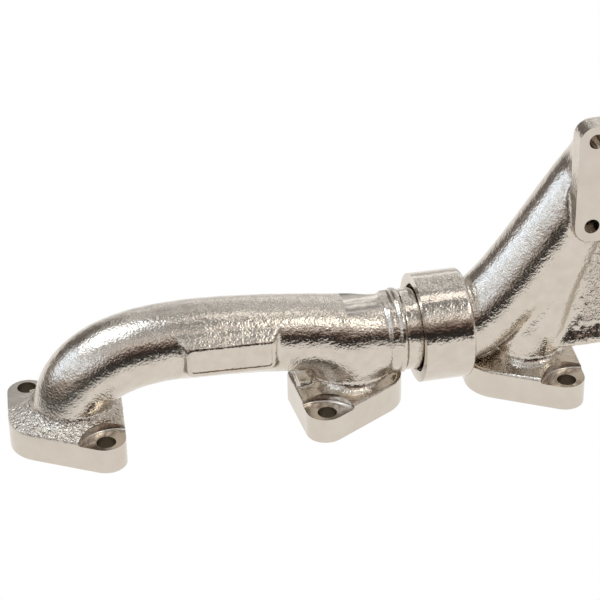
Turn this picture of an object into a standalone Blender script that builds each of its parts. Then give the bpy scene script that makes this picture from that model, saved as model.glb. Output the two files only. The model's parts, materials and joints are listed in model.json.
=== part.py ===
"""Three-piece exhaust manifold for an in-line six diesel engine.

X runs along the cylinder head, Y points towards the head's far side and Z is the outward normal of
the head face. The port flanges stand on Z = 0. The object is mirrored about X = 0.
All dimensions below are millimetres; MM turns them into metres when a mesh is made.
"""

import math

import bmesh
import bpy
from mathutils import Matrix, Vector

MM = 0.001

# Ports, from the outermost to the one beside the centre plane
PORT_X = (430.67, 229.33, 100.67)
BORE_RADIUS = 21.2

# Port flanges
FLANGE_TOP = 22.0
SPOT_FACE_Z = 19.0
FRONT_EDGE_ANGLE = math.radians(30.6)
FRONT_EDGE_OFFSET = 33.2
SIDE_EDGE_ANGLE = math.radians(85.6)
SIDE_EDGE_OFFSET = 40.0
BOLT_CORNER_RADIUS = 14.0
FRONT_CORNER_RADIUS = 27.0
BACK_CORNER_RADIUS = 8.0
BOLT_HOLE = (23.03, -40.18)
BOLT_HOLE_RADIUS = 6.8
SPOT_CUTTER_OFFSET = (5.0, -13.0)
SPOT_CUTTER_RADIUS = 27.5
BACK_SPOT_EDGE_Y = 12.4
BACK_SPOT_EDGE_X = -22.0

# End section: elbow and log pipe
LOG_RADIUS = 27.2
ELBOW_START = (-428.1, 3.0, 6.0)
ELBOW_RISE = 72.0
LOG_KNEE = (-258.6, 0.5, 61.3)
LOG_SLOPE = -0.127
KNEE_HANDLE = 92.7
LOG_END_X = -198.0
LOG_END_HANDLE = 22.0
PORT_2_STUB_RADIUS = 25.5

# Slip joint
JOINT_Z = 53.6
COLLAR_FACE_X = -180.25
COLLAR_END_X = -144.5
COLLAR_RADIUS = 39.0
SOCKET_RADIUS = 31.35
SOCKET_BOTTOM_X = -147.25
SPIGOT_RADIUS = 29.0
SPIGOT_END_X = -152.25
BEAD_RADIUS = 30.3
BEAD_X = (-195.5, -191.3)
RING_X = (-172.0, -166.0, -160.0)
RING_WIDTH = 3.0
RING_OUTER_RADIUS = 31.22
RING_INNER_RADIUS = 27.7
RING_GAP = 2.0
GROOVE_WIDTH = 3.2
GROOVE_RADIUS = 26.7

# Centre section: risers, runners, chest, neck and turbine flange
RISER_RADIUS = 27.5
RISER_POINTS = ((-146.0, 0.0, 53.6), (-116.5, 0.0, 53.6), (-67.8, 4.0, 137.3), (-46.0, 8.0, 157.1))
RUNNER_RADIUS = 24.0
RUNNER_BORE_RADIUS = 18.5
RUNNER_POINTS = ((-95.7, 1.0, 8.0), (-95.7, 1.0, 80.0), (-86.0, 0.0, 100.0), (-50.0, 0.0, 150.0))
CHEST_HALF_WIDTH = 66.0
CHEST_Y = (-18.0, 24.0)
CHEST_Z = (33.0, 128.0)
CHEST_EDGE_RADIUS = 10.0
POCKET_HALF_WIDTH = 44.0
POCKET_Y = (-11.0, 17.0)
POCKET_TOP_Z = 100.0
POCKET_EDGE_RADIUS = 8.0
TURBO_FACE_Y = -30.0
TURBO_THICKNESS = 15.0
TURBO_HALF_WIDTH = 74.4
TURBO_Z = (124.7, 213.5)
TURBO_CORNER_RADIUS = 12.0
TURBO_HOLE_X = 62.2
TURBO_HOLE_Z = (136.7, 202.1)
TURBO_HOLE_RADIUS = 5.45
WINDOW_X = (-54.0, -4.0)
WINDOW_Z = (141.0, 197.0)
WINDOW_CORNER_RADIUS = 8.0
CHAMBER_END_Y = 24.0
CHAMBER_INSET = 7.0
# Sections of the neck behind the turbine flange: y, half width, lowest z, highest z, corner radius
NECK_SECTIONS = (
    (-18.0, 69.0, 128.0, 208.0, 12.0),
    (0.0, 66.0, 124.0, 202.0, 20.0),
    (20.0, 58.0, 122.0, 192.0, 26.0),
    (33.0, 46.0, 128.0, 181.0, 24.0),
    (39.0, 32.0, 138.0, 170.0, 14.0),
)

ROUND_SIDES = 20
HOLE_SIDES = 12
SEAL_SIDES = 40
RING_STEPS = 25
CORNER_STEPS = 3
CURVE_STEPS = 9
OVERRUN = 5.0


def clear_scene():
    for scene_object in list(bpy.data.objects):
        bpy.data.objects.remove(scene_object, do_unlink=True)


def principled(name, colour, roughness):
    material = bpy.data.materials.new(name)
    material.use_nodes = True
    shader = material.node_tree.nodes["Principled BSDF"]
    shader.inputs["Base Color"].default_value = (*colour, 1.0)
    shader.inputs["Metallic"].default_value = 1.0
    shader.inputs["Roughness"].default_value = roughness
    return material


def make_object(name, points, faces):
    """A mesh object from points in millimetres, with its faces turned outwards."""
    mesh = bpy.data.meshes.new(name)
    mesh.from_pydata([Vector(point) * MM for point in points], [], faces)
    shape = bmesh.new()
    shape.from_mesh(mesh)
    bmesh.ops.recalc_face_normals(shape, faces=shape.faces)
    shape.to_mesh(mesh)
    shape.free()
    made = bpy.data.objects.new(name, mesh)
    bpy.context.scene.collection.objects.link(made)
    return made


def helper(made):
    made.hide_render = True
    made.display_type = "WIRE"
    return made


def join_rings(name, rings):
    """A closed solid through equal rings of points, with flat ends."""
    count = len(rings[0])
    points = [point for ring in rings for point in ring]
    faces = [list(range(count))[::-1]]
    for level in range(len(rings) - 1):
        low = level * count
        for step in range(count):
            after = (step + 1) % count
            faces.append((low + step, low + after, low + count + after, low + count + step))
    faces.append(list(range(len(points) - count, len(points))))
    return make_object(name, points, faces)


def bezier(points, steps=CURVE_STEPS):
    """Points along the cubic curve with these four control points."""
    p0, p1, p2, p3 = (Vector(point) for point in points)
    curve = []
    for step in range(steps + 1):
        t = step / steps
        s = 1.0 - t
        curve.append(p0 * s**3 + p1 * (3 * s * s * t) + p2 * (3 * s * t * t) + p3 * t**3)
    return curve


def tube(name, path, radius, sides=ROUND_SIDES):
    """A round bar that follows a path lying close to the XZ plane."""
    rings = []
    for index, point in enumerate(path):
        before = path[max(index - 1, 0)]
        after = path[min(index + 1, len(path) - 1)]
        along = (after - before).normalized()
        side = Vector((0.0, 1.0, 0.0))
        side = (side - along * side.dot(along)).normalized()
        up = along.cross(side)
        ring = []
        for step in range(sides):
            angle = 2 * math.pi * (step + 0.5) / sides
            ring.append(point + side * (radius * math.cos(angle)) + up * (radius * math.sin(angle)))
        rings.append(ring)
    return join_rings(name, rings)


def turned(name, profile, sides=SEAL_SIDES):
    """A solid turned about the slip joint's axis from (x, radius) pairs."""
    rings = []
    for x, radius in profile:
        ring = []
        for step in range(sides):
            angle = 2 * math.pi * step / sides
            ring.append((x, radius * math.cos(angle), JOINT_Z + radius * math.sin(angle)))
        rings.append(ring)
    return join_rings(name, rings)


def rounded_outline(corners):
    """The outline through (x, y, radius) corners given anticlockwise, each rounded by an arc."""
    outline = []
    count = len(corners)
    for index, (x, y, radius) in enumerate(corners):
        corner = Vector((x, y))
        into = (corner - Vector(corners[index - 1][:2])).normalized()
        out = (Vector(corners[(index + 1) % count][:2]) - corner).normalized()
        turn = math.acos(max(-1.0, min(1.0, into.dot(out))))
        setback = radius * math.tan(turn / 2)
        start = corner - into * setback
        centre = start + Vector((-into.y, into.x)) * radius
        for step in range(CORNER_STEPS + 1):
            arm = Matrix.Rotation(turn * step / CORNER_STEPS, 2) @ (start - centre)
            outline.append(centre + arm)
    return outline


def flange_outline(hand):
    """The port flange's outline about its port. Hand 1 has its front bolt on the right, -1 mirrors it."""
    front_normal = Vector((-math.sin(FRONT_EDGE_ANGLE), -math.cos(FRONT_EDGE_ANGLE)))
    right_normal = Vector((math.sin(SIDE_EDGE_ANGLE), -math.cos(SIDE_EDGE_ANGLE)))

    def crossing(front_offset, right_offset):
        lines = Matrix((front_normal, right_normal))
        return lines.inverted() @ Vector((front_offset, right_offset))

    front, side = FRONT_EDGE_OFFSET, SIDE_EDGE_OFFSET
    corners = [
        (*crossing(front, -side), FRONT_CORNER_RADIUS),
        (*crossing(front, side), BOLT_CORNER_RADIUS),
        (*crossing(-front, side), BACK_CORNER_RADIUS),
        (*crossing(-front, -side), BOLT_CORNER_RADIUS),
    ]
    outline = rounded_outline(corners)
    if hand < 0:
        outline = [Vector((-point.x, point.y)) for point in reversed(outline)]
    return outline


def upright_prism(name, outline, z_low, z_high):
    rings = [[(point[0], point[1], z) for point in outline] for z in (z_low, z_high)]
    return join_rings(name, rings)


def rounded_box_outline(x_low, x_high, y_low, y_high, radius):
    corners = ((x_low, y_low), (x_high, y_low), (x_high, y_high), (x_low, y_high))
    return rounded_outline([(x, y, radius) for x, y in corners])


def loft_along_y(name, sections):
    """A solid through rounded rectangles in XZ, given as y, x range, z range and corner radius."""
    rings = []
    for y, x_low, x_high, z_low, z_high, radius in sections:
        outline = rounded_box_outline(x_low, x_high, z_low, z_high, radius)
        rings.append([(point.x, y, point.y) for point in outline])
    return join_rings(name, rings)


def cylinder_z(name, x, y, radius, z_low, z_high, sides):
    outline = []
    for step in range(sides):
        angle = 2 * math.pi * step / sides
        outline.append((x + radius * math.cos(angle), y + radius * math.sin(angle)))
    return upright_prism(name, outline, z_low, z_high)


def mirrored(path, side):
    """The path itself on the left, side -1, or its mirror image on the right, side 1."""
    return [Vector((-side * point[0], point[1], point[2])) for point in path]


def combine(target, others, operation):
    for other in others:
        helper(other)
        modifier = target.modifiers.new(other.name, "BOOLEAN")
        modifier.operation = operation
        modifier.object = other
        modifier.solver = "EXACT"


def flange_body(name, port_x, hand):
    outline = [(port_x + point.x, point.y) for point in flange_outline(hand)]
    return upright_prism(name, outline, 0.0, FLANGE_TOP)


def flange_cutters(name, port_x, hand):
    """The bolt holes and the spot faces round them."""
    hole_x, hole_y = BOLT_HOLE
    spot_x = hole_x + SPOT_CUTTER_OFFSET[0]
    spot_y = hole_y + SPOT_CUTTER_OFFSET[1]
    top = FLANGE_TOP + OVERRUN
    cutters = []
    for end in (1, -1):
        place = f"{name}_{'front' if end > 0 else 'back'}"
        x = port_x + hand * end * hole_x
        y = end * hole_y
        cutters.append(cylinder_z(place + "_hole", x, y, BOLT_HOLE_RADIUS, -OVERRUN, top, HOLE_SIDES))
        x = port_x + hand * end * spot_x
        y = end * spot_y
        cutters.append(
            cylinder_z(place + "_spot", x, y, SPOT_CUTTER_RADIUS, SPOT_FACE_Z, top, ROUND_SIDES)
        )
    reach = 60.0
    x_range = sorted((port_x - hand * reach, port_x + hand * BACK_SPOT_EDGE_X))
    corner = rounded_box_outline(*x_range, BACK_SPOT_EDGE_Y, reach, 1.0)
    cutters.append(upright_prism(name + "_back_corner_spot", corner, SPOT_FACE_Z, top))
    return cutters


def spigot_profile():
    """The spigot's outside: bead, smooth nose and the three ring grooves."""
    chamfer = 1.0
    profile = [(LOG_END_X - 6.0, 24.0), (BEAD_X[0] - 1.5, LOG_RADIUS)]
    profile += [(BEAD_X[0], BEAD_RADIUS), (BEAD_X[1], BEAD_RADIUS), (BEAD_X[1] + chamfer, SPIGOT_RADIUS)]
    for x in RING_X:
        left, right = x - GROOVE_WIDTH / 2, x + GROOVE_WIDTH / 2
        profile += [(left, SPIGOT_RADIUS), (left, GROOVE_RADIUS)]
        profile += [(right, GROOVE_RADIUS), (right, SPIGOT_RADIUS)]
    profile += [(SPIGOT_END_X - chamfer, SPIGOT_RADIUS), (SPIGOT_END_X, SPIGOT_RADIUS - chamfer)]
    return profile


def log_path():
    """The pipe's centre line, from inside flange 1 to the start of the spigot."""
    knee_in = (
        LOG_KNEE[0] - KNEE_HANDLE,
        LOG_KNEE[1],
        LOG_KNEE[2] - LOG_SLOPE * KNEE_HANDLE,
    )
    x, y, z = ELBOW_START
    elbow = bezier((ELBOW_START, (x, y, z + ELBOW_RISE), knee_in, LOG_KNEE))
    end = (LOG_END_X, 0.0, JOINT_Z)
    knee_out = (
        LOG_KNEE[0] + LOG_END_HANDLE,
        LOG_KNEE[1],
        LOG_KNEE[2] + LOG_SLOPE * LOG_END_HANDLE,
    )
    run = bezier((LOG_KNEE, knee_out, (LOG_END_X - LOG_END_HANDLE, 0.0, JOINT_Z), end), 8)
    return elbow + run[1:]


def end_section(name, side):
    """The casting at one end: two port flanges, the pipe over them and the spigot."""
    x_1, x_2 = side * PORT_X[0], side * PORT_X[1]
    hand = -side
    body = flange_body(name, x_1, hand)
    path = log_path()
    spigot = [(-side * x, radius) for x, radius in spigot_profile()]
    stub_low, stub_high = FLANGE_TOP / 2, LOG_KNEE[2] - 5.0
    outer = [
        flange_body(name + "_flange_2", x_2, -hand),
        tube(name + "_pipe", mirrored(path, side), LOG_RADIUS),
        cylinder_z(name + "_stub", x_2, 0.0, PORT_2_STUB_RADIUS, stub_low, stub_high, ROUND_SIDES),
        turned(name + "_spigot", spigot),
    ]
    start = Vector(ELBOW_START)
    inner_path = [Vector((start.x, start.y, -OVERRUN))] + path
    inner_path.append(Vector((SPIGOT_END_X + OVERRUN, 0.0, JOINT_Z)))
    inner = [
        tube(name + "_pipe_bore", mirrored(inner_path, side), BORE_RADIUS),
        cylinder_z(name + "_stub_bore", x_2, 0.0, BORE_RADIUS, -OVERRUN, stub_high, ROUND_SIDES),
    ]
    inner += flange_cutters(name + "_flange_1", x_1, hand)
    inner += flange_cutters(name + "_flange_2", x_2, -hand)
    combine(body, outer, "UNION")
    combine(body, inner, "DIFFERENCE")
    return body


def centre_outer(side):
    """One half's outside shapes: flange, runner, riser and collar."""
    name = "left" if side < 0 else "right"
    lip = 2.5
    collar = [
        (COLLAR_FACE_X, COLLAR_RADIUS - 1.0),
        (COLLAR_FACE_X + 1.0, COLLAR_RADIUS),
        (COLLAR_END_X - lip, COLLAR_RADIUS),
        (COLLAR_END_X, COLLAR_RADIUS - lip),
        (COLLAR_END_X + lip, RISER_RADIUS),
    ]
    return [
        flange_body(name + "_flange", side * PORT_X[2], -side),
        tube(name + "_runner", mirrored(bezier(RUNNER_POINTS), side), RUNNER_RADIUS),
        tube(name + "_riser", mirrored(bezier(RISER_POINTS), side), RISER_RADIUS),
        turned(name + "_collar", [(-side * x, radius) for x, radius in collar]),
    ]


def centre_inner(side):
    """One half's hollows: socket, gas passages, inlet window and flange holes."""
    name = "left" if side < 0 else "right"
    runner = [Vector((*RUNNER_POINTS[0][:2], -OVERRUN))] + bezier(RUNNER_POINTS)
    riser = [Vector((SOCKET_BOTTOM_X - OVERRUN, 0.0, JOINT_Z))] + bezier(RISER_POINTS)
    x_low, x_high = WINDOW_X
    z_low, z_high = WINDOW_Z
    inset = CHAMBER_INSET
    radius = WINDOW_CORNER_RADIUS
    window = [
        (TURBO_FACE_Y - OVERRUN, x_low, x_high, z_low, z_high, radius),
        (0.0, x_low, x_high, z_low, z_high, radius),
        (CHAMBER_END_Y, x_low + inset, x_high - inset, z_low + inset, z_high - 2 * inset, radius),
    ]
    if side > 0:
        window = [(y, -high, -low, *rest) for y, low, high, *rest in window]
    socket = [(COLLAR_FACE_X - OVERRUN, SOCKET_RADIUS), (SOCKET_BOTTOM_X, SOCKET_RADIUS)]
    cutters = [
        turned(name + "_socket", [(-side * x, radius) for x, radius in socket]),
        tube(name + "_runner_bore", mirrored(runner, side), RUNNER_BORE_RADIUS),
        tube(name + "_riser_bore", mirrored(riser, side), BORE_RADIUS),
        loft_along_y(name + "_window", window),
    ]
    for level, z in zip(("low", "high"), TURBO_HOLE_Z):
        label = f"{name}_{level}_stud_hole"
        depth = TURBO_THICKNESS + OVERRUN
        hole = cylinder_z(label, 0.0, 0.0, TURBO_HOLE_RADIUS, -OVERRUN, depth, HOLE_SIDES)
        place = Vector((side * TURBO_HOLE_X, TURBO_FACE_Y, z)) * MM
        turn = Matrix.Rotation(math.radians(-90), 4, "X")
        hole.data.transform(Matrix.Translation(place) @ turn)
        cutters.append(hole)
    return cutters + flange_cutters(name + "_flange", side * PORT_X[2], -side)


def centre_section(name):
    """The middle casting, with two sockets, two port flanges and the divided turbine inlet."""
    width = TURBO_HALF_WIDTH
    back = TURBO_FACE_Y + TURBO_THICKNESS
    face = [(y, -width, width, *TURBO_Z, TURBO_CORNER_RADIUS) for y in (TURBO_FACE_Y, back)]
    body = loft_along_y(name, face)
    neck = [(y, -half, half, low, high, radius) for y, half, low, high, radius in NECK_SECTIONS]
    chest_outline = rounded_box_outline(
        -CHEST_HALF_WIDTH, CHEST_HALF_WIDTH, *CHEST_Y, CHEST_EDGE_RADIUS
    )
    pocket_outline = rounded_box_outline(
        -POCKET_HALF_WIDTH, POCKET_HALF_WIDTH, *POCKET_Y, POCKET_EDGE_RADIUS
    )
    outer = [loft_along_y("neck", neck), upright_prism("chest", chest_outline, *CHEST_Z)]
    inner = [upright_prism("pocket", pocket_outline, CHEST_Z[0] - OVERRUN, POCKET_TOP_Z)]
    for side in (-1, 1):
        outer += centre_outer(side)
        inner += centre_inner(side)
    combine(body, outer, "UNION")
    combine(body, inner, "DIFFERENCE")
    return body


def seal_ring(name, side, ring_x, gap_angle):
    """A split ring; its gap is turned away from its neighbours' gaps."""
    half_gap = RING_GAP / 2 / RING_OUTER_RADIUS
    sections = []
    for step in range(RING_STEPS):
        part = step / (RING_STEPS - 1)
        angle = gap_angle + half_gap + part * (2 * math.pi - 2 * half_gap)
        section = []
        for radius, shift in (
            (RING_INNER_RADIUS, -0.5),
            (RING_OUTER_RADIUS, -0.5),
            (RING_OUTER_RADIUS, 0.5),
            (RING_INNER_RADIUS, 0.5),
        ):
            x = side * -ring_x + shift * RING_WIDTH
            section.append((x, radius * math.cos(angle), JOINT_Z + radius * math.sin(angle)))
        sections.append(section)
    return join_rings(name, sections)


def put_on_axis(made, axis_empty):
    """Parents the object to its joint's empty without moving its shape."""
    made.parent = axis_empty
    made.matrix_parent_inverse = Matrix.Translation(-axis_empty.location)


def finish_piece(made, material):
    made.data.materials.append(material)
    made.data.shade_smooth()
    made.data.set_sharp_from_angle(angle=math.radians(35))


def build():
    clear_scene()
    cast = principled("cast_coating", (0.62, 0.56, 0.49), 0.32)
    ring_metal = principled("ring_metal", (0.30, 0.30, 0.31), 0.38)
    finish_piece(centre_section("centre_section"), cast)
    for side, hand in ((-1, "left"), (1, "right")):
        axis = bpy.data.objects.new(hand + "_joint_axis", None)
        axis.location = Vector((-side * RING_X[1], 0.0, JOINT_Z)) * MM
        bpy.context.scene.collection.objects.link(axis)
        casting = end_section(hand + "_section", side)
        finish_piece(casting, cast)
        put_on_axis(casting, axis)
        for index, ring_x in enumerate(RING_X):
            gap_angle = math.radians(90 + 120 * index)
            ring = seal_ring(f"{hand}_seal_ring_{index + 1}", side, ring_x, gap_angle)
            finish_piece(ring, ring_metal)
            put_on_axis(ring, axis)


build()
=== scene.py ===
"""The finished look of a three-piece exhaust manifold: coated castings with machined faces.

Each casting is a distance field in millimetres, meshed and then cut by its machined faces.
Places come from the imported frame; the sizes named below repeat the CAD model's own.
"""

import itertools
import json
import math
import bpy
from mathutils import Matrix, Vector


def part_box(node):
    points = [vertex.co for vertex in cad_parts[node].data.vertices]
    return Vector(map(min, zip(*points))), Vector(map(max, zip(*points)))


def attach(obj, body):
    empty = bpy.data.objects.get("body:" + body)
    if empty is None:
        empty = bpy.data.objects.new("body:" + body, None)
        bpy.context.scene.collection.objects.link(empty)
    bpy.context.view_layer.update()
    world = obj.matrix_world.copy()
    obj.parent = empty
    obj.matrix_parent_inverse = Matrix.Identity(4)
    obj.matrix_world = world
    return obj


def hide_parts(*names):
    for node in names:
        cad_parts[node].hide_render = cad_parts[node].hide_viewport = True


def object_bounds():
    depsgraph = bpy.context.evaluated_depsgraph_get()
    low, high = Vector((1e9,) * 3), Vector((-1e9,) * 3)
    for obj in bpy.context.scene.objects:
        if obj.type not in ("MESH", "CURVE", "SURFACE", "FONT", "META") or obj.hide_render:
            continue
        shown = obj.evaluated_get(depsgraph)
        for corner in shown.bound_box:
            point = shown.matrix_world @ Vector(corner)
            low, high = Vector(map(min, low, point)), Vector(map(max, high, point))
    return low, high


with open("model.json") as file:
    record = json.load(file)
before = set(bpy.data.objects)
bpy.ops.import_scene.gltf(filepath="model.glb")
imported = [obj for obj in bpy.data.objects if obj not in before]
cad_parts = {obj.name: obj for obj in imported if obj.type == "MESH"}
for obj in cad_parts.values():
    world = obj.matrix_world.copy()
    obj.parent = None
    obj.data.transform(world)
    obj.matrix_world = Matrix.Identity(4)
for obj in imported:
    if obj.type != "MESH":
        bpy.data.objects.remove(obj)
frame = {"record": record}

from concurrent.futures import ThreadPoolExecutor

import bmesh
import bpy
import numpy as np
from mathutils import Matrix, Vector

CAD_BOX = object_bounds()
MM = 0.001
CELL = 1.3
BLOCK = 4
NOISE_PRIMES = (73856093, 19349663, 83492791)

RECORD = frame["record"]
MOUNTS = {mount["name"]: np.array(mount["pos_m"]) / MM for mount in RECORD["mounts"]}
OPENINGS = {gap["name"]: np.array(gap["box_m"]) / MM for gap in RECORD["physics"]["openings"]}
JOINTS = {joint["name"]: joint for joint in RECORD["behaviour"]["joints"]}
JOINT_Z = JOINTS["left_swivel"]["pos_m"][2] / MM

# Port flanges
PORT_X = [MOUNTS[f"port_{number}_face"][0] for number in (1, 2, 3)]
FLANGE_TOP = 22.0
FLANGE_CROWN = 3.6
CROWN_WIDTH = 15.0
BELOW_BASE = -3.0
SPOT_FACE_Z = 19.0
FRONT_EDGE_ANGLE = math.radians(30.6)
FRONT_EDGE_OFFSET = 33.2
SIDE_EDGE_ANGLE = math.radians(85.6)
SIDE_EDGE_OFFSET = 40.0
BOLT_CORNER_RADIUS = 14.0
FRONT_CORNER_RADIUS = 27.0
BACK_CORNER_RADIUS = 8.0
SPOT_CUTTER_OFFSET = (5.0, -13.0)
SPOT_CUTTER_RADIUS = 27.5
BACK_SPOT_EDGE = (-22.0, 12.4)
BOLT_HOLE_RADIUS = 6.8

# End section
BORE_RADIUS = 21.2
LOG_RADIUS = 27.2
ELBOW_START = (-428.1, 3.0, 6.0)
ELBOW_RISE = 72.0
LOG_KNEE = (-258.6, 0.5, 61.3)
LOG_SLOPE = -0.127
KNEE_HANDLE = 92.7
LOG_END_X = -198.0
LOG_END_HANDLE = 22.0
STUB_RADIUS = 25.5
PAD_X = (-347.0, -286.0)
PAD_FACE_DEPTH = 29.2
PAD_HALF_HEIGHT = 10.6
PAD_HEIGHT = 66.3
PAD_SLOPE = -0.03
PAD_RIM = 2.2
PAD_PANEL_DEPTH = 1.0
PAD_DEPTH = 18.0
PAD_BEVEL_DEPTH = 6.3
PAD_BEVEL_HEIGHT = 6.7
PAD_BEVEL_LENGTH = 9.2
PAD_BEVEL_TOP = 7.0

LUG_LOW = (-266.5, -12.0, 18.0)
LUG_HIGH = (-255.5, 6.0, 28.5)

TOP_FLAT_X = (-232.0, -197.5)
TOP_FLAT_Z = 79.6
STUB_FILLET = 9.0
FLANGE_FILLET = 6.0

# Slip joint
COLLAR_FACE_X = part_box("centre_section")[0].x / MM
COLLAR_END_X = -144.5
COLLAR_RADIUS = 39.0
SOCKET_RADIUS = 31.35
SOCKET_BOTTOM_X = -147.25
SPIGOT_RADIUS = 29.0
SPIGOT_END_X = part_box("left_section")[1].x / MM
BEAD_RADIUS = 30.4
BEAD_X = -193.4
BEAD_HALF_WIDTH = 2.1
GROOVE_WIDTH = 3.2
GROOVE_RADIUS = 26.7
RING_DEPTH = 3.5
RING_CHAMFER = 0.25
RING_GAP = 2.0

# Centre section
RISER_RADIUS = 27.5
RISER_POINTS = ((-146.0, 0.0, 53.6), (-116.5, 0.0, 53.6), (-67.8, 4.0, 137.3), (-46.0, 8.0, 157.1))
INLET_BEND_POINTS = ((-46.0, 8.0, 157.1), (-32.0, 11.0, 170.0), (-29.5, 4.0, 170.0), (-29.0, -24.0, 169.0))
RUNNER_RADIUS = 24.0
RUNNER_BORE_RADIUS = 18.5
SOCKET_TO_RISER = ((-156.0, 0.0, JOINT_Z), (-146.0, 0.0, JOINT_Z))
RUNNER_POINTS = ((-95.7, 1.0, -6.0), (-95.7, 1.0, 80.0), (-86.0, 0.0, 100.0), (-50.0, 0.0, 150.0))
RIB_TAPER = 0.15
RIB_TAPER_FROM_Z = 48.0
RIB_TAPER_HEIGHT = 70.0
RIB_POINTS = ((-97.0, 1.0, -6.0), (-97.0, 1.0, 50.0), (-86.0, -3.0, 75.0), (-63.0, -11.0, 122.0))
CHEST_LOW = (-86.0, -21.5, 33.5)
CHEST_HIGH = (86.0, 24.0, 122.0)
CHEST_FACE_Y = -14.5
SKIRT_LIP = 3.0
SKIRT_SLOPE = 0.43
POCKET_LOW = (-44.0, -11.0, 0.0)
POCKET_HIGH = (44.0, 17.0, 100.0)
NECK_SECTIONS = (
    (-24.0, -70.0, 70.0, 128.0, 209.0),
    (0.0, -67.0, 67.0, 124.0, 203.0),
    (20.0, -59.0, 59.0, 122.0, 193.0),
    (33.0, -49.0, 49.0, 128.0, 182.0),
    (39.0, -42.0, 42.0, 133.0, 175.0),
)
CHAMBER_SECTIONS = (
    (-42.0, -54.0, -4.0, 141.0, 197.0),
    (-24.0, -54.0, -4.0, 141.0, 197.0),
    (24.0, -47.0, -11.0, 148.0, 183.0),
)
TURBO_FACE_Y = MOUNTS["turbine_face"][1]
TURBO_THICKNESS = 15.0
TURBO_HALF_WIDTH = 74.4
TURBO_Z = (124.7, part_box("centre_section")[1].z / MM)
TURBO_CORNER_RADIUS = 12.0
STUD_HOLE_RADIUS = 5.45

# Cast skin: how deep its relief is, and where it is coarser
SKIN_DEPTH = 0.10
FINE_SKIN_DEPTH = 0.07
COARSE_DEPTH = 0.30
COARSE_FROM_X = 360.0
COARSE_CHEST = 1.8

CAST, MACHINED = 0, 1
MATERIALS = {}


# Distance fields -----------------------------------------------------------------------------

def bezier(points, steps):
    p0, p1, p2, p3 = (np.array(point, float) for point in points)
    t = np.linspace(0.0, 1.0, steps + 1)[:, None]
    s = 1.0 - t
    return p0 * s**3 + p1 * 3 * s * s * t + p2 * 3 * s * t * t + p3 * t**3


def path_distance(points, path):
    """Distance to a path of straight stretches and Bezier curves."""
    best = np.full(len(points), np.inf, np.float32)
    for stretch in path:
        controls = np.asarray(stretch, np.float32)
        if len(controls) == 2:
            run = controls[1] - controls[0]
            along = np.clip((points - controls[0]) @ run / (run @ run), 0.0, 1.0)
            offset = points - controls[0] - along[:, None] * run
            np.minimum(best, np.einsum("ij,ij->i", offset, offset), out=best)
        else:
            np.minimum(best, curve_distance(points, controls), out=best)
    return np.sqrt(best)


def curve_distance(points, controls, steps=10):
    """Squared distance to a cubic Bezier curve: the nearest of a few chords, then refined."""
    knots = bezier(controls, steps).astype(np.float32)
    best = np.full(len(points), np.inf, np.float32)
    t = np.zeros(len(points), np.float32)
    for index in range(steps):
        run = knots[index + 1] - knots[index]
        offset = points - knots[index]
        along = np.clip(offset @ run / (run @ run), 0.0, 1.0)
        offset = offset - along[:, None] * run
        gap = np.einsum("ij,ij->i", offset, offset)
        nearer = gap < best
        best[nearer] = gap[nearer]
        t[nearer] = (index + along[nearer]) / steps
    p0, p1, p2, p3 = controls
    a, b, c = p3 - p0 + 3 * (p1 - p2), 3 * (p0 - 2 * p1 + p2), 3 * (p1 - p0)
    for _ in range(3):
        u = t[:, None]
        offset = ((a * u + b) * u + c) * u + p0 - points
        slope = (3 * a * u + 2 * b) * u + c
        bend = 6 * a * u + 2 * b
        rate = np.einsum("ij,ij->i", slope, slope) + np.einsum("ij,ij->i", offset, bend)
        size = np.maximum(rate, 0.3 * np.einsum("ij,ij->i", slope, slope))
        t = np.clip(t - np.einsum("ij,ij->i", offset, slope) / size, 0.0, 1.0)
    u = t[:, None]
    offset = ((a * u + b) * u + c) * u + p0 - points
    return np.einsum("ij,ij->i", offset, offset)


def round_union(a, b, radius):
    """Two solids as one, with a fillet of this radius where they meet."""
    inner = np.hypot(np.maximum(radius - a, 0.0), np.maximum(radius - b, 0.0))
    return np.maximum(radius, np.minimum(a, b)) - inner


def round_cut(a, b, radius):
    """What two solids share, with its edge rounded to this radius."""
    return -round_union(-a, -b, radius)


def rounded_box(points, low, high, radius):
    low, high = np.array(low, np.float32), np.array(high, np.float32)
    reach = np.abs(points - (low + high) / 2) - ((high - low) / 2 - radius)
    outside = np.linalg.norm(np.maximum(reach, 0.0), axis=1)
    return outside + np.minimum(reach.max(axis=1), 0.0) - radius


def turned_box(points, x_low, x_high, radius, edge, inner=0.0):
    """A disc or ring about the slip joint's axis, with rounded edges."""
    radial = np.hypot(points[:, 1], points[:, 2] - JOINT_Z)
    across = np.abs(radial - (radius + inner) / 2) - ((radius - inner) / 2 - edge)
    along = np.abs(points[:, 0] - (x_low + x_high) / 2) - ((x_high - x_low) / 2 - edge)
    outside = np.hypot(np.maximum(across, 0.0), np.maximum(along, 0.0))
    return outside + np.minimum(np.maximum(across, along), 0.0) - edge


def outline_distance(flat_points, outline):
    """Signed distance in a plane to a closed, anticlockwise, convex outline."""
    best = np.full(len(flat_points), np.inf, np.float32)
    beyond = np.full(len(flat_points), -np.inf, np.float32)
    outline = np.asarray(outline, np.float32)
    for start, end in zip(outline, np.roll(outline, -1, axis=0)):
        run = end - start
        offset = flat_points - start
        along = np.clip(offset @ run / (run @ run), 0.0, 1.0)
        away = offset - along[:, None] * run
        np.minimum(best, np.einsum("ij,ij->i", away, away), out=best)
        side = (offset[:, 0] * run[1] - offset[:, 1] * run[0]) / np.hypot(*run)
        np.maximum(beyond, side, out=beyond)
    return np.where(beyond < 0.0, beyond, np.sqrt(best))


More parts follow.
